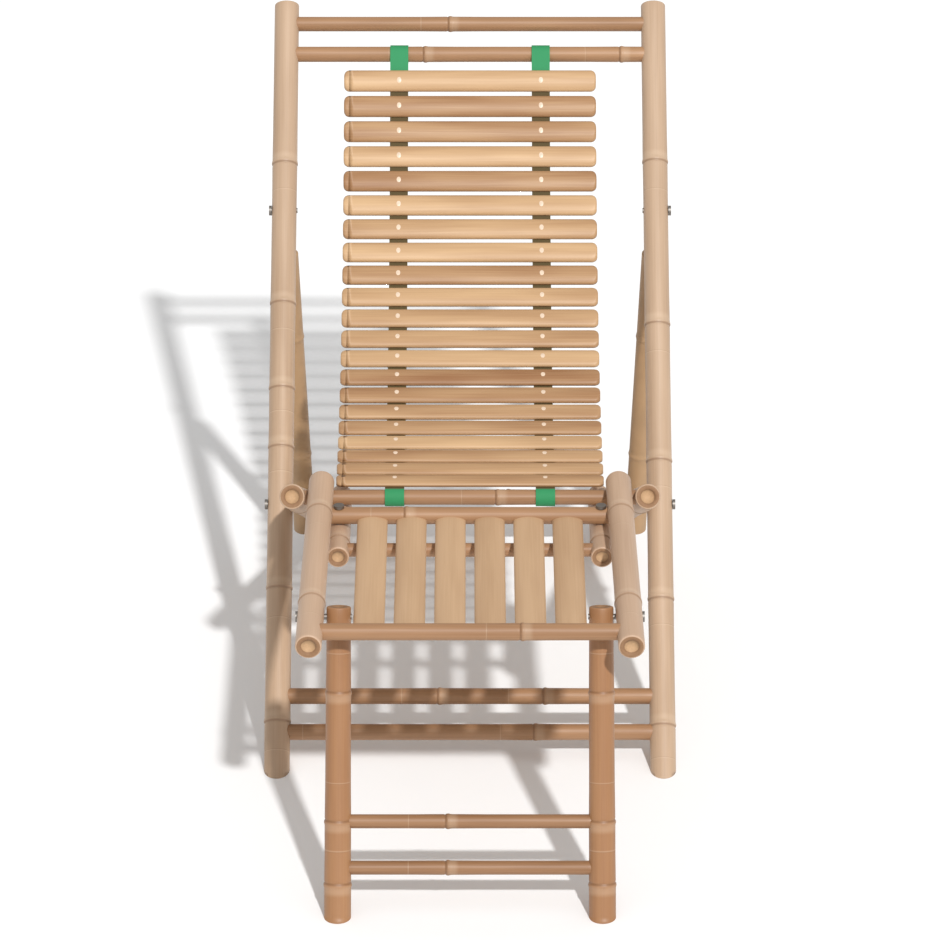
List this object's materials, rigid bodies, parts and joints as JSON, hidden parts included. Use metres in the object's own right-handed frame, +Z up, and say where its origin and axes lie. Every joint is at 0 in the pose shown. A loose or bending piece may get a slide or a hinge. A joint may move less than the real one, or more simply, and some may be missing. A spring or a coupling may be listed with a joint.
{
  "type": "folding recliner",
  "caption": "Bamboo folding recliner with crossed back and seat frames, a prop behind, a slatted sling on webbing, and a footrest with folding legs.",
  "frame": {"origin": "on the floor, under the middle of the whole chair with its footrest", "axes": "+X to the right seen from the front, +Y towards the back, +Z up"},
  "size_m": [0.608, 1.3356, 0.8728],
  "materials": {
    "bamboo_pole": "satin natural bamboo",
    "bamboo_rung": "satin natural bamboo",
    "sling_slat": "satin split bamboo",
    "footrest_slat": "satin split bamboo",
    "peg": "plain wood",
    "webbing": "woven green strap",
    "steel": "zinc-plated"
  },
  "bodies": {
    "back_frame": {"back_pole_left": "bamboo_pole", "back_pole_right": "bamboo_pole", "fold_bolts": "steel", "head_rung": "bamboo_rung", "prop_bolts": "steel", "sling_rung": "bamboo_rung", "sling_slat_09": "sling_slat", "sling_slat_10": "sling_slat", "sling_slat_11": "sling_slat", "sling_slat_12": "sling_slat", "sling_slat_13": "sling_slat", "sling_slat_14": "sling_slat", "sling_slat_15": "sling_slat", "sling_slat_16": "sling_slat", "sling_slat_17": "sling_slat", "sling_slat_18": "sling_slat", "sling_slat_19": "sling_slat", "sling_slat_20": "sling_slat", "sling_slat_21": "sling_slat", "stretcher_lower": "bamboo_rung", "stretcher_upper": "bamboo_rung", "webbing_left": "webbing", "webbing_right": "webbing"},
    "seat_frame": {"prop_stops": "peg", "seat_front_bar": "bamboo_rung", "seat_rail_left": "bamboo_pole", "seat_rail_right": "bamboo_pole", "seat_rear_bar": "bamboo_rung", "sling_slat_01": "sling_slat", "sling_slat_02": "sling_slat", "sling_slat_03": "sling_slat", "sling_slat_04": "sling_slat", "sling_slat_05": "sling_slat", "sling_slat_06": "sling_slat", "sling_slat_07": "sling_slat", "sling_slat_08": "sling_slat"},
    "prop": {"prop_bar": "bamboo_rung", "prop_strut_left": "bamboo_pole", "prop_strut_right": "bamboo_pole"},
    "footrest": {"footrest_front_bar": "bamboo_rung", "footrest_rail_left": "bamboo_pole", "footrest_rail_right": "bamboo_pole", "footrest_rear_bar": "bamboo_rung", "footrest_slat_1": "footrest_slat", "footrest_slat_2": "footrest_slat", "footrest_slat_3": "footrest_slat", "footrest_slat_4": "footrest_slat", "footrest_slat_5": "footrest_slat", "footrest_slat_6": "footrest_slat", "footrest_tongue_left": "bamboo_pole", "footrest_tongue_right": "bamboo_pole", "leg_bolts": "steel", "tongue_bar": "bamboo_rung", "tongue_bolts": "steel"},
    "footrest_legs": {"leg_left": "bamboo_pole", "leg_right": "bamboo_pole", "leg_rung_lower": "bamboo_rung", "leg_rung_upper": "bamboo_rung"}
  },
  "joints": [
    {"name": "fold_hinge", "type": "hinge", "parent": "back_frame", "child": "seat_frame", "pos_m": [0, 0.07367, 0.28851], "axis": [-1, 0, 0], "range_deg": [0, 90], "deforming": ["sling_slat_09", "sling_slat_10", "webbing_left", "webbing_right"]},
    {"name": "prop_hinge", "type": "hinge", "parent": "back_frame", "child": "prop", "pos_m": [0, 0.4113, 0.6203], "axis": [-1, 0, 0], "range_deg": [0, 25]},
    {"name": "footrest_hinge", "type": "hinge", "parent": "seat_frame", "child": "footrest", "pos_m": [0, -0.15711, 0.40904], "axis": [-1, 0, 0], "range_deg": [0, 45]},
    {"name": "leg_hinge", "type": "hinge", "parent": "footrest", "child": "footrest_legs", "pos_m": [0, -0.51992, 0.39962], "axis": [1, 0, 0], "range_deg": [0, 90]}
  ],
  "couplings": [
    {"joint": "prop_hinge", "follows": "fold_hinge", "ratio": 0.27778}
  ]
}
